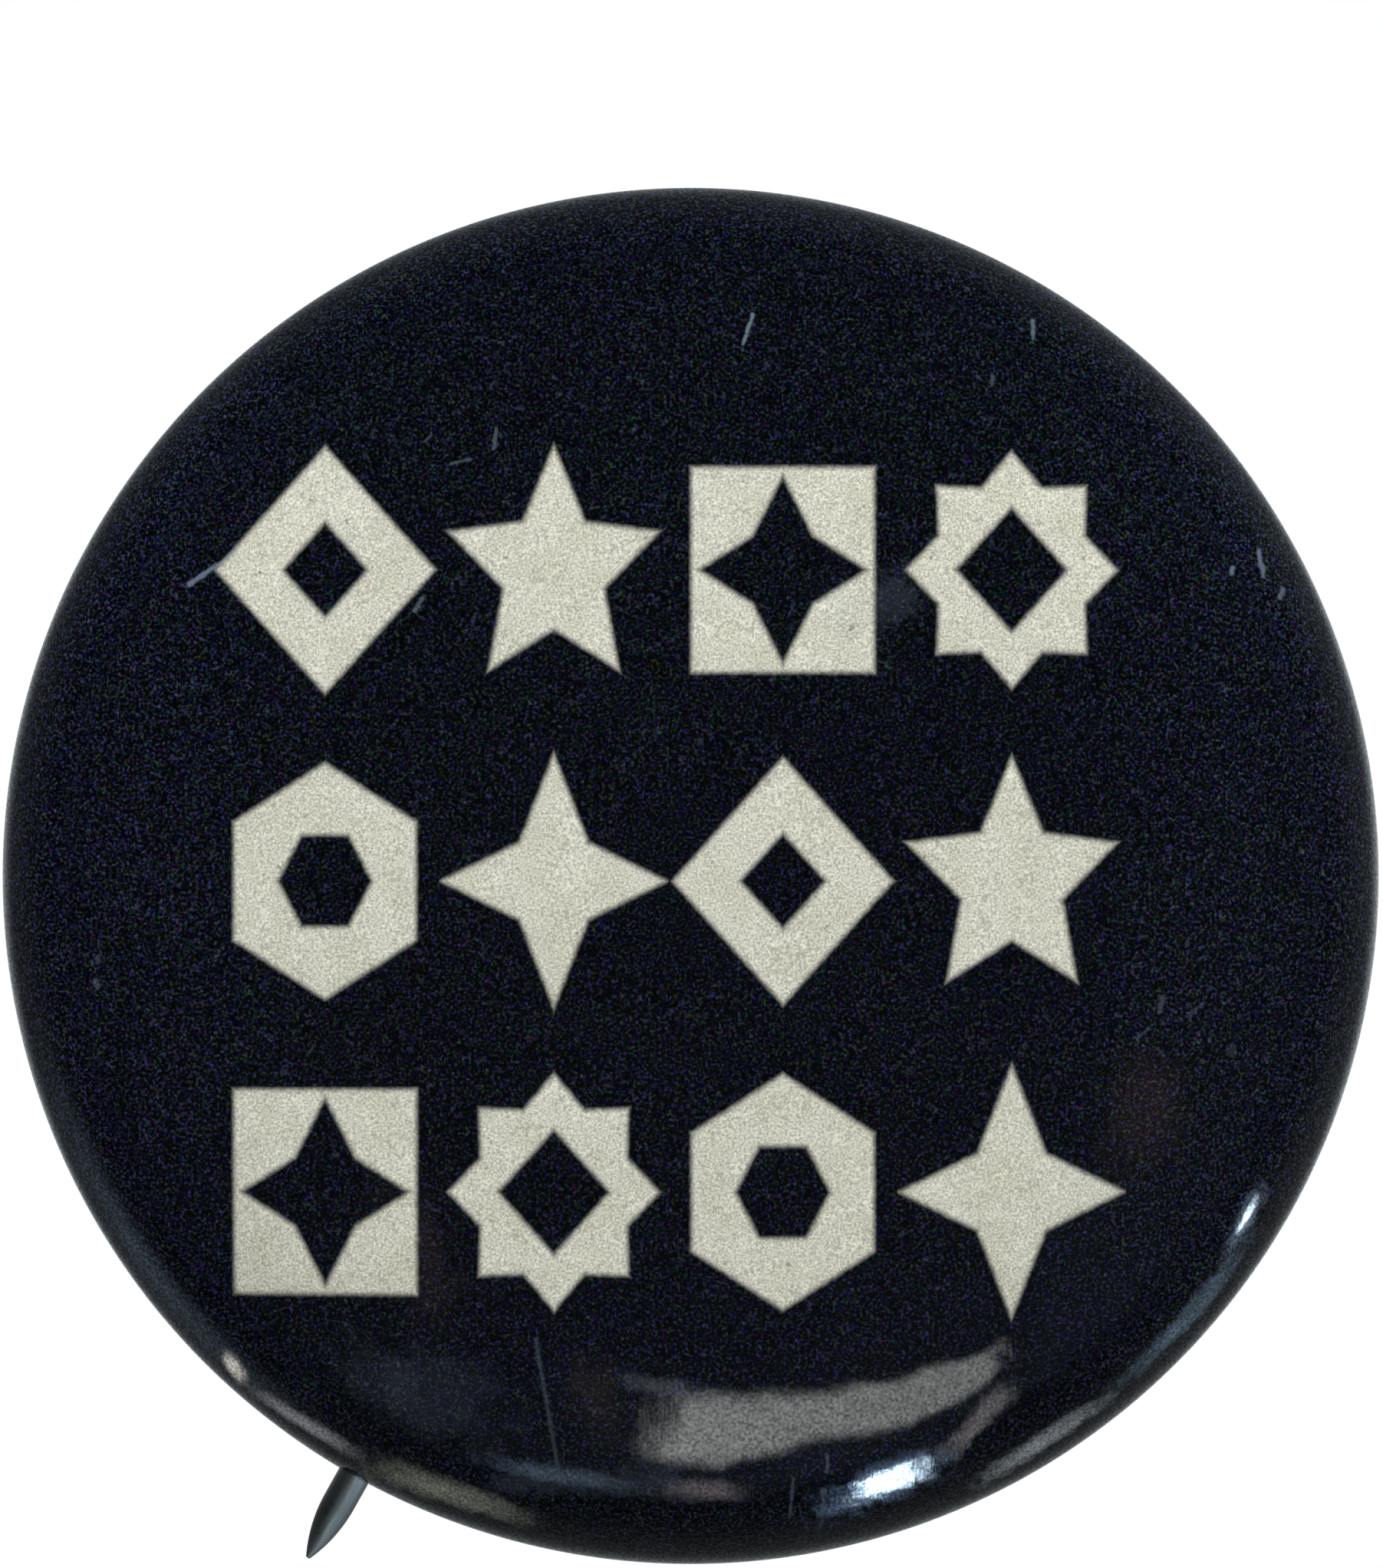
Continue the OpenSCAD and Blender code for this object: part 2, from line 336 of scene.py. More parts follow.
def film_material():
    made, n = material("clear_film")
    place = n.place()
    wave = n.noise(place, 0.22, 2.0)
    ripple = n.noise(place, 0.9, 2.0)
    fine = n.noise(n.vector("MULTIPLY", place, (9.0, 1.0, 1.2)), 2.0, 2.0)
    normal = n.bump(wave, 0.00006, 0.5)
    normal = n.bump(ripple, 0.00001, 0.5, normal)
    normal = n.bump(fine, 0.0000006, 0.5, normal)
    rough = n.ramp(n.noise(place, 1.3, 3.0), 0.3, 0.7, 0.03, 0.06)
    outside = n.math("SUBTRACT", 1.0, n.add("ShaderNodeNewGeometry", out=6))
    speckle = n.ramp(n.noise(place, GRAIN, 1.0), 0.3, 0.7, 0.5, 1.5, smooth=False)
    gloss = n.add("ShaderNodeBsdfAnisotropic", {
        "Color": n.xyz(speckle, speckle, speckle), "Roughness": rough, "Normal": normal})
    clear = n.add("ShaderNodeBsdfTransparent", {"Color": (0.985, 0.985, 0.975, 1)})
    # round the edge the real film bends every look into the dark paper, so there it carries
    # the paper's ground itself
    x, y, z = n.split(place)
    at_rim = n.ramp(n.vector("LENGTH", n.xyz(x, 0.0, z)), RIM_START, RIM_START + RIM_BLEND)
    lined = n.add("ShaderNodeBsdfDiffuse", {"Color": printed_ground(n, place)})
    clear = n.add("ShaderNodeMixShader", (at_rim, clear, lined))
    mirror = n.add("ShaderNodeFresnel", {"IOR": FILM_IOR, "Normal": normal})
    mirror = n.math("MULTIPLY", mirror, outside)
    film = n.add("ShaderNodeMixShader", (mirror, clear, gloss))
    # pale haze of the scratches; beside the lamp's reflection it paints highlight streaks
    haze = n.add("ShaderNodeBsdfDiffuse", {"Color": (0.29, 0.38, 0.49, 1)})
    marks = n.math("MULTIPLY", mark_mask(n, place), outside)
    film = n.add("ShaderNodeMixShader", (marks, film, haze))
    veil = n.add("ShaderNodeBsdfTransparent", {"Color": (0.96, 0.96, 0.95, 1)})
    n.end(n.add("ShaderNodeMixShader", (n.add("ShaderNodeLightPath", out=1), film, veil)))
    return made


# ---------------------------------------------------------------- metals
RUST = (0.085, 0.05, 0.03, 1)
SCORE_ANGLE = 0.9                                               # radians


def sheet_metal(name, bright, dull, rough, stain, turned):
    """Tinplate: tarnish in fine clouds, stains, freckles of rust and brushed lines.

    The lines are straight or, where turned, go round the axis.
    """
    made, n = material(name)
    place = n.place()
    cloud = n.ramp(n.noise(place, 0.45, 9.0, 0.68), 0.36, 0.66)
    colour = n.mix(n.math("MULTIPLY", cloud, 0.85), bright, dull)
    spots = n.ramp(n.noise(place, 2.2, 7.0, 0.7), 0.6, 0.7)
    colour = n.mix(n.math("MULTIPLY", spots, 0.5), colour, stain)
    freckles = n.ramp(n.noise(place, 7.0, 3.0, 0.6), 0.69, 0.73)
    colour = n.mix(n.math("MULTIPLY", freckles, 0.7), colour, RUST)
    if turned:
        x, _, z = n.split(place)
        radius = n.vector("LENGTH", n.xyz(x, 0.0, z))
        lines = n.vector("MULTIPLY", n.xyz(radius, x, z), (8.0, 0.12, 0.12))
    else:
        lines = n.vector("MULTIPLY", place, (6.0, 1.0, 0.5))
    brushed = n.noise(lines, 2.0, 4.0, 0.6)
    slanted = n.add("ShaderNodeVectorRotate", {"Vector": place, "Angle": SCORE_ANGLE},
                    rotation_type="Y_AXIS")
    crossing = n.noise(n.vector("MULTIPLY", slanted, (16.0, 1.0, 0.35)), 1.0, 2.0)
    scored = n.ramp(crossing, 0.66, 0.7)
    pits = n.noise(place, 16.0, 4.0, 0.6)
    roughness = n.ramp(brushed, 0.3, 0.7, rough - 0.08, rough + 0.10)
    roughness = n.math("MULTIPLY_ADD", cloud, 0.14, roughness)
    roughness = n.math("MULTIPLY_ADD", n.math("MAXIMUM", spots, freckles), 0.22, roughness)
    normal = n.bump(brushed, 0.000007, 0.7)
    normal = n.bump(pits, 0.000005, 0.5, normal)
    normal = n.bump(n.math("MAXIMUM", scored, freckles), 0.000004, 0.8, normal)
    n.end(n.add("ShaderNodeBsdfPrincipled", {
        "Base Color": colour, "Metallic": 1.0, "Roughness": roughness, "Normal": normal}))
    return made


def wire_material():
    """Spring steel: drawn lines along the wire, darker towards the ground point."""
    made, n = material("spring_wire")
    along = n.add("ShaderNodeAttribute", out=2, attribute_name="along")
    around = n.add("ShaderNodeAttribute", out=1, attribute_name="around")
    lengthways = n.xyz(0.0, n.math("MULTIPLY", along, 0.25), 0.0)
    drawn = n.noise(n.vector("ADD", n.scale(around, 9.0), lengthways), 1.6, 3.0)
    place = n.place()
    cloud = n.ramp(n.noise(place, 0.9, 4.0, 0.6), 0.3, 0.7)
    colour = n.mix(cloud, (0.43, 0.46, 0.46, 1), (0.27, 0.30, 0.30, 1))
    spots = n.ramp(n.noise(place, 4.5, 3.0), 0.62, 0.7)
    colour = n.mix(n.math("MULTIPLY", spots, 0.6), colour, (0.12, 0.105, 0.09, 1))
    tip = n.ramp(along, ARM_RUN - POINT_L - 2.5, ARM_RUN - 0.8)
    colour = n.mix(n.math("MULTIPLY", tip, 0.85), colour, (0.145, 0.15, 0.135, 1))
    rough = n.math("MULTIPLY_ADD", spots, 0.2, n.ramp(drawn, 0.3, 0.7, 0.30, 0.46))
    rough = n.math("MULTIPLY_ADD", tip, 0.2, rough)
    normal = n.bump(drawn, 0.000006, 0.7)
    n.end(n.add("ShaderNodeBsdfPrincipled", {
        "Base Color": colour, "Metallic": 1.0, "Roughness": rough, "Normal": normal}))
    return made


# ---------------------------------------------------------------- sections
# A section's points are a radius and a height above the back.
def arc(cx, cy, r, start, end, steps, first=0):
    return [(cx + r * math.cos(start + (end - start) * i / steps),
             cy + r * math.sin(start + (end - start) * i / steps)) for i in range(first, steps + 1)]


def front_track(depth):
    """The face and skirt, from the axis to the back, that deep below the film's outer face."""
    crown_end, shoulder_end = 90 * DEG - CROWN_EDGE, 90 * DEG - SHOULDER_EDGE
    return (arc(0, CROWN_C, CROWN_R - depth, 90 * DEG, crown_end, 22)
            + arc(SHOULDER_X, SHOULDER_C, SHOULDER_R - depth, crown_end, shoulder_end, 14, 1)
            + arc(BADGE_R - RIM_R, SKIRT_H, RIM_R - depth, shoulder_end, 0, 16, 1))


def wrap_track(depth):
    return arc(BADGE_R - WRAP_R, WRAP_R, WRAP_R - depth, 0, -math.pi, 14)


def hem_track(depth):
    return arc(BADGE_R - RIM_R, SKIRT_H, RIM_R - depth, 0, HEM, 5)


def covering(outer, inner):
    out = front_track(outer) + wrap_track(outer) + hem_track(2 * WRAP_R - outer)
    back = front_track(inner) + wrap_track(inner) + hem_track(2 * WRAP_R - inner)
    return out, back[::-1]


WAVES_ROUND = (23, 31, 41, 53, 67)
GATHER_H = 1.0                                                  # the gathers fade in below it
GATHER_FADE = 0.9
GATHER_SEED = 4


def puckers(strength, seed):
    """Gathers where a flat disc is drawn round the edge: none on the face, most at the back."""
    draw = random.Random(seed)
    waves = [(count, draw.uniform(0, 2 * math.pi), draw.uniform(0.5, 1.0)) for count in WAVES_ROUND]
    total = sum(weight for _, _, weight in waves)

    def lift(radius, height, angle):
        near_back = min(1.0, max(0.0, (GATHER_H - height) / GATHER_FADE))
        if radius < OPENING_R:
            return 0.0
        crest = sum(weight * math.sin(count * angle + phase) for count, phase, weight in waves) / total
        return strength * near_back * near_back * (0.5 + 0.5 * crest)

    return lift


def new_piece(name, vertices, faces, made):
    mesh = bpy.data.meshes.new(name)
    mesh.from_pydata([tuple(c * MM for c in v) for v in vertices], [], faces)
    mesh.materials.append(made)
    mesh.polygons.foreach_set("use_smooth", [True] * len(mesh.polygons))
    mesh.update()
    piece = bpy.data.objects.new(name, mesh)
    bpy.context.scene.collection.objects.link(piece)
    return piece


def lathe(name, outline, made, segments=LATHE_STEPS, closed=False, shift=None):
    """Turns a section about the badge's axis.

    shift(index, radius, height, angle) gives a point's moved radius and height.
    """
    vertices, rings = [], []
    for index, (radius, height) in enumerate(outline):
        if radius < 1e-6:
            rings.append([len(vertices)])
            vertices.append((0.0, BACK_Y - height, 0.0))
            continue
        rings.append(list(range(len(vertices), len(vertices) + segments)))
        for step in range(segments):
            angle = 2 * math.pi * step / segments
            r, h = shift(index, radius, height, angle) if shift else (radius, height)
            vertices.append((r * math.cos(angle), BACK_Y - h, r * math.sin(angle)))
    faces = []
    pairs = list(zip(rings, rings[1:]))
    if closed:
        pairs.append((rings[-1], rings[0]))
    for a, b in pairs:
        for step in range(segments):
            after = (step + 1) % segments
            if len(a) == 1:
                faces.append((a[0], b[after], b[step]))
            elif len(b) == 1:
                faces.append((a[step], a[after], b[0]))
            else:
                faces.append((a[step], a[after], b[after], b[step]))
    return new_piece(name, vertices, faces, made)


def finish_normals(piece):
    work = bmesh.new()
    work.from_mesh(piece.data)
    bmesh.ops.recalc_face_normals(work, faces=work.faces)
    work.to_mesh(piece.data)
    work.free()


def covering_piece(name, outer, inner, made, out_strength, in_strength):
    """The film or the paper: it follows the face, wraps the edge and ends in a gathered hem."""
    out, back = covering(outer, inner)
    lift_out, lift_in = puckers(out_strength, GATHER_SEED), puckers(in_strength, GATHER_SEED)

    def shift(index, radius, height, angle):
        lift = (lift_out if index < len(out) else lift_in)(radius, height, angle)
        from_wrap = Vector((radius - (BADGE_R - WRAP_R), height - WRAP_R))
        if height > WRAP_R:
            from_wrap.y = 0
        way = from_wrap.normalized() if from_wrap.length > 1e-6 else Vector((0, 0))
        return radius + way.x * lift, height + way.y * lift

    return lathe(name, out + back, made, COVERING_STEPS, shift=shift)


# ---------------------------------------------------------------- wire
def in_wire_frame(point):
    """From the wire's own directions, X towards the point and Z along the leg, to the badge's."""
    x, y, z = point
    return Vector((x * math.cos(PIN) - z * math.sin(PIN), y, x * math.sin(PIN) + z * math.cos(PIN)))


def tube(name, stations, made, start, side, sides=28):
    """A round bar along stations of place and radius.

    start is how far along the whole wire its first point is. side is a direction across the wire,
    carried along it without a twist and returned for the next piece to start from.
    """
    places = [Vector(place) for place, _ in stations]
    last = len(places) - 1
    runs = [(places[min(i + 1, last)] - places[max(i - 1, 0)]).normalized() for i in range(last + 1)]
    vertices, along, around, distance = [], [], [], start
    for i, (place, radius) in enumerate(stations):
        distance += (places[i] - places[max(i - 1, 0)]).length
        side = (side - runs[i] * side.dot(runs[i])).normalized()
        up = runs[i].cross(side)
        for step in range(sides):
            angle = 2 * math.pi * step / sides
            vertices.append(tuple(places[i] + (side * math.cos(angle) + up * math.sin(angle)) * radius))
            along.append(distance)
            around.extend((math.cos(angle), 0.0, math.sin(angle)))
    faces = [tuple(range(sides))[::-1], tuple(range(last * sides, (last + 1) * sides))]
    for i in range(last):
        for step in range(sides):
            after = (step + 1) % sides
            a, b = i * sides, (i + 1) * sides
            faces.append((a + step, a + after, b + after, b + step))
    piece = new_piece(name, vertices, faces, made)
    ends = {frozenset(key) for end in (0, 1) for key in piece.data.polygons[end].edge_keys}
    for edge in piece.data.edges:
        edge.use_edge_sharp = frozenset(edge.vertices) in ends
    piece.data.attributes.new("along", "FLOAT", "POINT").data.foreach_set("value", along)
    piece.data.attributes.new("around", "FLOAT_VECTOR", "POINT").data.foreach_set("vector", around)
    finish_normals(piece)
    return piece, side


def arm_place(point):
    """From the arm's own axes to the badge's."""
    x, y, z = point
    c, s = math.cos(ARM_SLOPE), math.sin(ARM_SLOPE)
    return in_wire_frame((x * c - y * s - LEG_REACH, x * s + y * c + BACK_Y - WIRE_H, z))


def arm_stations():
    """From the flex point down the leg, round the bend, along the shank and out to the tip."""
    leg, bend, shank, taper, curve = 4, 18, 40, 8, 24
    stations = [((0, 0, LEG_L - (LEG_L - ARM_BEND_R) * i / leg), WIRE_R) for i in range(leg)]
    stations += [((ARM_BEND_R * (1 - math.cos(a)), 0, ARM_BEND_R * (1 - math.sin(a))), WIRE_R)
                 for a in (math.pi / 2 * i / bend for i in range(bend + 1))]
    stations += [((ARM_BEND_R + (SHANK_L - ARM_BEND_R) * i / shank, 0, 0), WIRE_R)
                 for i in range(1, shank + 1)]
    point, thinning = ARM_L - POINT_L, POINT_START_R - WIRE_R
    stations += [((SHANK_L + (point - SHANK_L) * i / taper, 0, 0), WIRE_R + thinning * i / taper)
                 for i in range(1, taper + 1)]
    drop = POINT_START_R - TIP_R
    round_r = (POINT_L ** 2 + drop ** 2) / (2 * drop)
    stations += [((point + round_r * math.sin(a), 0, 0), POINT_START_R - round_r * (1 - math.cos(a)))
                 for a in (math.asin(POINT_L / round_r) * i / curve for i in range(1, curve + 1))]
    stations.append(((ARM_L, 0, 0), TIP_R * 0.5))
    return [(arm_place(place), radius) for place, radius in stations]


def ring_stations():
    """From the split ring's free end round to the bend and down the leg to the flex point."""
    bend_x = RING_BEND_R - LEG_REACH
    bend_z = math.sqrt((RING_R - RING_BEND_R) ** 2 - bend_x ** 2)
    end = math.atan2(bend_z, bend_x)
    seam = 0.002                                                # gap to the arm's end
    ring, bend, leg = 220, 24, 10
    flat = [(RING_R * math.cos(a), RING_R * math.sin(a))
            for a in (end - RING_SWEEP * (1 - i / ring) for i in range(ring))]
    flat += [(bend_x + RING_BEND_R * math.cos(a), bend_z + RING_BEND_R * math.sin(a))
             for a in (end + (math.pi - end) * i / bend for i in range(bend + 1))]
    flat += [(-LEG_REACH, bend_z + (LEG_L + seam - bend_z) * i / leg) for i in range(1, leg + 1)]
    return [(in_wire_frame((x, BACK_Y - WIRE_H, z)), WIRE_R) for x, z in flat]


# ---------------------------------------------------------------- pieces
film_look, paper_look, wire_look = film_material(), paper_material(), wire_material()
shell_look = sheet_metal("shell_tinplate", (0.52, 0.51, 0.47, 1), (0.36, 0.345, 0.30, 1), 0.30,
                         (0.17, 0.125, 0.085, 1), False)
collet_look = sheet_metal("collet_tinplate", (0.60, 0.575, 0.505, 1), (0.42, 0.395, 0.33, 1), 0.26,
                          (0.21, 0.155, 0.10, 1), True)

film = covering_piece("film_cover", 0, FILM_T, film_look, 0.075, 0.055)
paper = covering_piece("printed_disc", PAPER_OUT, PAPER_IN, paper_look, 0.045, 0.0)

shell_outline = front_track(SHELL_OUT) + wrap_track(SHELL_OUT) + front_track(SHELL_IN)[::-1]
shell = lathe("stamped_shell", shell_outline, shell_look)

corner_x = COLLET_R - COLLET_CORNER_R
low, high = COLLET_RECESS + COLLET_CORNER_R, COLLET_TOP - COLLET_CORNER_R
inner_corner, nose = COLLET_CORNER_R - COLLET_T, COLLET_T / 2
collet_outline = (
    arc(corner_x, low, COLLET_CORNER_R, -90 * DEG, 0, 8)
    + arc(corner_x, high, COLLET_CORNER_R, 0, 90 * DEG, 8)
    + arc(COLLET_R - COLLET_LIP_W + nose, COLLET_TOP - nose, nose, 90 * DEG, 270 * DEG, 8)
    + arc(corner_x, high, inner_corner, 90 * DEG, 0, 5)
    + arc(corner_x, low, inner_corner, 0, -90 * DEG, 5)
    + arc(OPENING_R + nose, COLLET_RECESS + nose, nose, 90 * DEG, 270 * DEG, 8))
collet = lathe("pressed_collet", collet_outline, collet_look, closed=True)

ring_path = ring_stations()
ring_run = sum((a[0] - b[0]).length for a, b in zip(ring_path, ring_path[1:]))
coil, side = tube("wire_coil", ring_path, wire_look, -ring_run, Vector((0, 1, 0)))
pin, _ = tube("wire_pin", arm_stations(), wire_look, 0.0, side)

for piece in (film, paper, shell, collet):
    finish_normals(piece)
for piece, body, node, slot in (
        (film, "badge", "clear_film", "clear_film"),
        (paper, "badge", "printed_paper", "printed_paper"),
        (shell, "badge", "shell", "shell_metal"),
        (collet, "badge", "collet", "collet_metal"),
        (coil, "wire_ring", "pin_ring", "spring_wire"),
        (pin, "arm", "pin_arm", "spring_wire")):
    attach(piece, body)
    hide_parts(node)


# ---------------------------------------------------------------- floor
def floor_piece():
    made, n = material("pale_floor")
    mottle = n.noise(n.place(), 0.004, 2.0)
    colour = n.mix(mottle, (0.26, 0.26, 0.255, 1), (0.30, 0.30, 0.295, 1))
    n.end(n.add("ShaderNodeBsdfPrincipled", {
        "Base Color": colour, "Roughness": 0.9,
        "Emission Color": (1, 1, 1, 1), "Emission Strength": 0.9}))
    half, z = 900, -100
    corners = [(-half, -half, z), (half, -half, z), (half, half, z), (-half, half, z)]
    floor = new_piece("floor", corners, [(0, 1, 2, 3)], made)
    floor.visible_glossy = floor.visible_diffuse = False


floor_piece()


# ---------------------------------------------------------------- light
def face_at(x, z):
    """The place on the film's face at x and z, and the way the face looks there."""
    radius = math.hypot(x, z)
    if radius < CROWN_X:
        slope = math.asin(radius / CROWN_R)
        height = CROWN_C + CROWN_R * math.cos(slope)
    elif radius < SHOULDER_OUT:
        slope = math.asin((radius - SHOULDER_X) / SHOULDER_R)
        height = SHOULDER_C + SHOULDER_R * math.cos(slope)
    else:
        slope = math.asin(min(1.0, (radius - BADGE_R + RIM_R) / RIM_R))
        height = SKIRT_H + RIM_R * math.cos(slope)
    out = Vector((x, 0, z)).normalized() * math.sin(slope)
    return Vector((x, BACK_Y - height, z)) * MM, Vector((out.x, -math.cos(slope), out.z))


def mirrored(x, z, distance):
    """Where a light has to be, that many metres away, for the camera to see it mirrored at x and z."""
    place, normal = face_at(x, z)
    view = (camera.location - place).normalized()
    return place + (normal * (2 * normal.dot(view)) - view) * distance


def soft_light(name, centre, across, up, radiance, colour=(1, 1, 1), glossy=True):
    """An area light whose width and height are the two vectors, in metres, and that faces the badge."""
    face = -across.cross(up).normalized()
    if face.dot(centre) > 0:
        across, face = -across, -face
    x_axis = across.normalized()
    z_axis = -face
    z_axis = (z_axis - x_axis * z_axis.dot(x_axis)).normalized()
    y_axis = z_axis.cross(x_axis)
    data = bpy.data.lights.new(name, "AREA")
    data.shape = "RECTANGLE"
    data.size, data.size_y = across.length, up.length
    data.energy = radiance * math.pi * data.size * data.size_y
    data.color = colour
    light = bpy.data.objects.new(name, data)
    turn = Matrix((x_axis, y_axis, z_axis)).transposed().to_4x4()
    light.matrix_world = Matrix.Translation(centre) @ turn
    light.visible_camera = False
    light.visible_glossy = glossy
    bpy.context.scene.collection.objects.link(light)
    return light


def smooth(t):
    t = min(1.0, max(0.0, t))
    return t * t * (3 - 2 * t)


def straight(start, end, breadth):
    """A strip of the face from start to end, with a breadth at each end."""
    start, end = Vector(start), Vector(end)
    run = (end - start).normalized()
    side = Vector((-run.y, run.x))
    first, last = breadth
    return lambda u, v: start.lerp(end, u) + side * ((first + (last - first) * u) * (v - 0.5))


def between(upper, lower):
    """A strip of the face from one line of points to another."""
    def place(u, v):
        at = u * (len(upper) - 1)
        i = min(int(at), len(upper) - 2)
        top, bottom = (Vector(line[i]).lerp(Vector(line[i + 1]), at - i) for line in (upper, lower))
        return top.lerp(bottom, v)
    return place


def curved(start, end, inner, outer):
    """A strip of the rim between two angles, counterclockwise from the right, and two radii."""
    def place(u, v):
        angle = (start + (end - start) * u) * DEG
        return Vector((math.cos(angle), math.sin(angle))) * (inner + (outer - inner) * v)
    return place


CARD_STEPS, CARD_DISTANCE = 20, 0.4                             # the distance is in metres


def card(name, where, radiance, colour, feather=0.35, ends=None, fade=0.0, ragged=0.0):
    """A glowing sheet whose mirror image on the face covers the strip that where(u, v) gives.

    feather is the soft share of its width, and ends of its length where that differs. fade is the
    loss of light towards the strip's end, and ragged the depth of its streaks.
    """
    made, n = material(name)
    glow = n.add("ShaderNodeAttribute", out=2, attribute_name="glow")
    across = n.add("ShaderNodeAttribute", out=1, attribute_name="across")
    streaks = n.noise(n.vector("MULTIPLY", across, (9.0, 1.5, 1.0)), 2.0, 3.0)
    gaps = n.math("MULTIPLY", n.ramp(streaks, 0.4, 0.65), ragged)
    strength = n.math("MULTIPLY", n.math("SUBTRACT", glow, gaps, clamp=True), radiance)
    lit = n.add("ShaderNodeEmission", {"Color": (*colour, 1), "Strength": strength})
    n.end(n.add("ShaderNodeAddShader", (lit, n.add("ShaderNodeBsdfTransparent"))))
    shares = [i / CARD_STEPS for i in range(CARD_STEPS + 1)]
    vertices, levels, spots = [], [], []
    for u in shares:
        for v in shares:
            place = where(u, v)
            vertices.append(mirrored(place.x, place.y, CARD_DISTANCE) / MM)
            edge = smooth(min(u, 1 - u) / (ends or feather)) * smooth(min(v, 1 - v) / feather)
            levels.append(edge * (1 - fade * u))
            spots.extend((u, v, 0.0))
    row = len(shares)
    starts = [i * row + j for i in range(CARD_STEPS) for j in range(CARD_STEPS)]
    faces = [(a, a + row, a + row + 1, a + 1) for a in starts]
    sheet = new_piece(name, vertices, faces, made)
    sheet.data.attributes.new("glow", "FLOAT", "POINT").data.foreach_set("value", levels)
    sheet.data.attributes.new("across", "FLOAT_VECTOR", "POINT").data.foreach_set("vector", spots)
    sheet.visible_camera = sheet.visible_diffuse = sheet.visible_shadow = False


def aimed_light(name, azimuth, elevation, distance, size, radiance, colour=(1, 1, 1), glossy=False):
    """A square light at that azimuth, 0 in front and 90 on the right, and elevation. Metres."""
    a, e = azimuth * DEG, elevation * DEG
    way = Vector((math.sin(a) * math.cos(e), -math.cos(a) * math.cos(e), math.sin(e)))
    across = way.cross(Vector((0, 0, 1))).normalized() * size
    up = across.cross(way).normalized() * size
    return soft_light(name, way * distance, across, up, radiance, colour, glossy)


BAND_TOP = ((-0.6, -11.7), (1.4, -11.72), (3.1, -11.66), (5.0, -11.28), (6.3, -10.95), (7.2, -10.45))
BAND_LOW = ((-1.5, -13.5), (0.6, -13.7), (3.1, -13.05), (5.0, -12.75), (6.4, -12.05), (7.4, -11.2))
card("band", between(BAND_TOP, BAND_LOW),
     4.4, (0.98, 1.0, 0.96), 0.24, fade=0.35, ragged=0.08, ends=0.1)
card("band_haze", straight((-2.0, -11.35), (0.8, -12.05), (0.55, 0.6)),
     1.3, (0.75, 0.87, 1.0), 0.5, ragged=0.2)
card("band_tail", straight((7.5, -11.45), (5.7, -13.55), (0.62, 0.66)),
     2.3, (1.0, 0.94, 0.97), ragged=0.2)
card("lamp", straight((3.4, -14.4), (5.9, -13.3), (0.66, 0.85)),
     85, (0.62, 0.82, 1.0), 0.5, ragged=0.45)
card("lamp_glow", straight((2.2, -14.9), (6.5, -13.0), (1.3, 1.3)),
     5.5, (0.4, 0.62, 1.0), 0.5, ragged=0.5)
card("right_lamp", straight((12.52, -8.25), (13.02, -7.35), (0.17, 0.29)),
     50, (0.7, 0.87, 1.0), 0.5, ragged=0.3)
card("right_glow", straight((12.2, -8.9), (13.25, -6.9), (0.45, 0.7)),
     5.0, (0.5, 0.7, 1.0), 0.5, ragged=0.4)
card("warm_lamp", straight((-10.72, -10.9), (-10.2, -11.7), (0.42, 0.46)),
     7.5, (1.0, 0.95, 0.86), 0.5)
card("lower_left", straight((-10.4, -11.6), (-7.3, -13.5), (0.4, 0.5)),
     2.3, (0.95, 0.94, 1.0), 0.45, ragged=0.1)
card("olive", straight((-7.9, -13.3), (-3.0, -15.0), (1.0, 0.65)),
     1.8, (0.95, 1.0, 0.8), 0.45, ragged=0.15)
card("patch", straight((-0.9, -14.05), (1.7, -14.15), (0.9, 0.8)),
     2.0, (1.0, 0.9, 0.93), 0.5, ragged=0.2)
card("lower_right", straight((6.2, -14.2), (10.3, -11.5), (0.65, 0.5)),
     3.2, (0.82, 0.93, 1.0), 0.45, fade=0.3, ragged=0.2)
card("right_rim", curved(-53, -29, 14.95, 15.55), 1.8, (0.5, 0.76, 1.0), 0.45, ragged=0.3)
card("blue_haze", straight((-5.9, -13.15), (0.0, -14.3), (0.75, 0.65)),
     1.8, (0.5, 0.74, 1.0), 0.5, ragged=0.35)
card("left_glow", curved(-170, -118, 14.9, 15.72), 0.5, (0.55, 0.8, 1.0), 0.5)
card("left_haze", straight((-9.2, -10.9), (-3.0, -12.7), (3.0, 2.6)),
     0.5, (0.6, 0.78, 1.0), 0.5, ragged=0.5)
card("brown_right", straight((10.9, -3.6), (9.7, -7.4), (3.0, 2.6)),
     0.26, (1.0, 0.62, 0.5), 0.5, ragged=0.2)
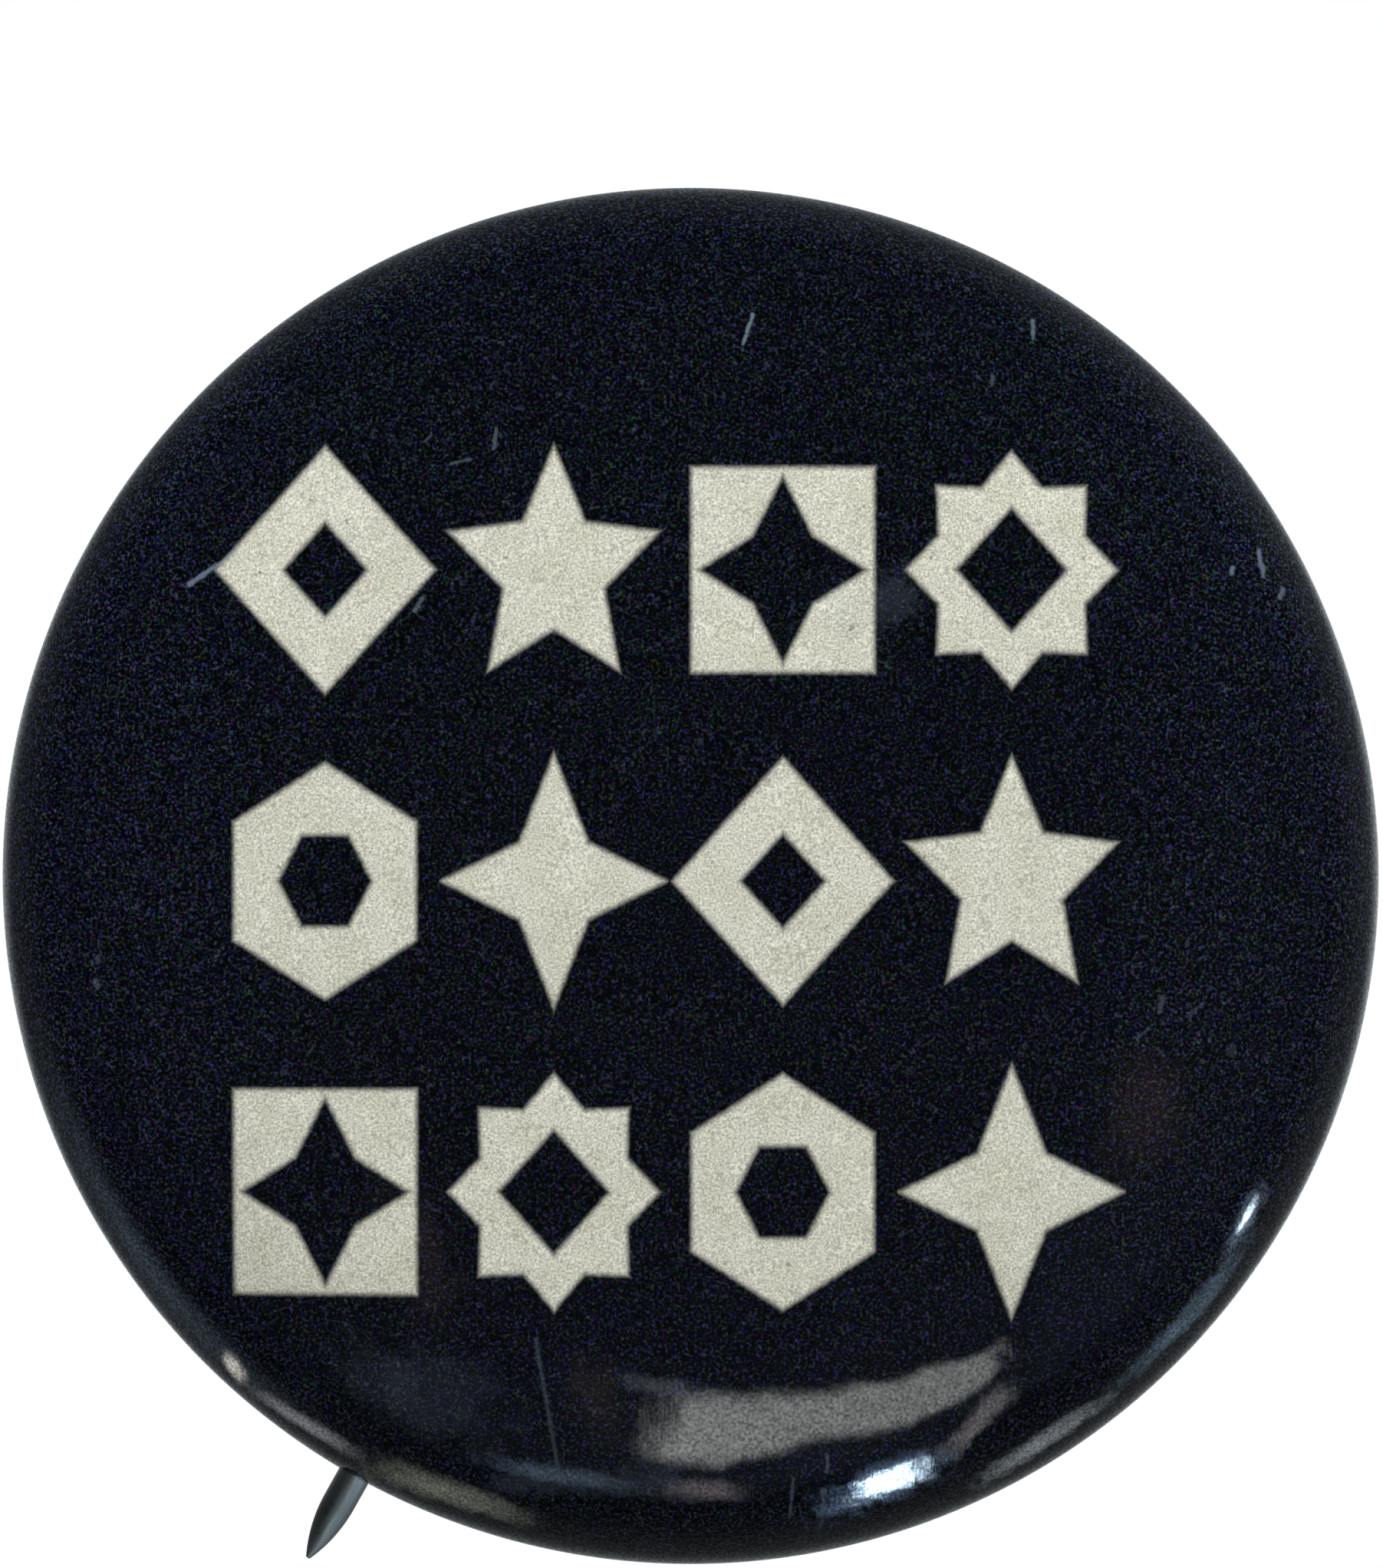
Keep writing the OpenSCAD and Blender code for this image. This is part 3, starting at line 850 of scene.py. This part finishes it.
card("brown_left", straight((-6.9, -6.8), (-5.6, -10.8), (1.6, 2.2)),
     0.26, (1.0, 0.7, 0.62), 0.5, ragged=0.2)
card("brown_low", straight((-2.6, -10.4), (-1.6, -13.4), (1.8, 1.6)),
     0.24, (1.0, 0.72, 0.62), 0.5, ragged=0.2)


def linked_to(name, pieces, lights):
    """Lets those lights fall on those pieces only."""
    receivers = bpy.data.collections.new(name)
    for piece in pieces:
        receivers.objects.link(piece)
    for light in lights:
        light.light_linking.receiver_collection = receivers


linked_to("whole_badge", (film, paper, shell, collet, coil, pin), (
    aimed_light("key", 20, 42, 0.6, 0.35, 8.6),
    aimed_light("fill", -38, 12, 0.7, 0.4, 3.3, (0.97, 0.99, 1.0))))
linked_to("metal", (shell, collet, coil, pin), (
    aimed_light("back_key", 200, 36, 0.6, 0.28, 7, (1.0, 0.99, 0.97), glossy=True),
    aimed_light("back_side", 128, 12, 0.6, 0.22, 4, (0.95, 0.98, 1.0), glossy=True),
    aimed_light("back_low", 215, -22, 0.6, 0.3, 1.6, (1.0, 0.98, 0.96), glossy=True)))


def sky():
    """White where the camera looks; a studio, dark in front of the badge and pale behind, elsewhere."""
    world = bpy.data.worlds.new("studio")
    world.use_nodes = True
    bpy.context.scene.world = world
    n = Nodes(world.node_tree)
    way = n.add("ShaderNodeTexCoord", out=0)
    x, y, z = n.split(way)
    behind = n.ramp(y, 0.55, 1.0, 0.0, 0.42)
    off_level = n.ramp(n.math("ABSOLUTE", z), 0.05, 0.36, 1.0, 0.3)
    level = n.math("MULTIPLY", behind, off_level)
    level = n.math("ADD", level, n.ramp(y, -0.9, 0.4, 0.03, 0.15))
    level = n.math("MULTIPLY", level, n.ramp(x, -1.0, 1.0, 0.85, 1.3))
    dim = n.add("ShaderNodeBackground", {"Color": (0.88, 0.96, 1.0, 1), "Strength": level})
    white = n.add("ShaderNodeBackground", {"Color": (1, 1, 1, 1), "Strength": 1.0})
    seen = n.add("ShaderNodeLightPath", out=0)
    n.end(n.add("ShaderNodeMixShader", (seen, dim, white)), "ShaderNodeOutputWorld")


sky()
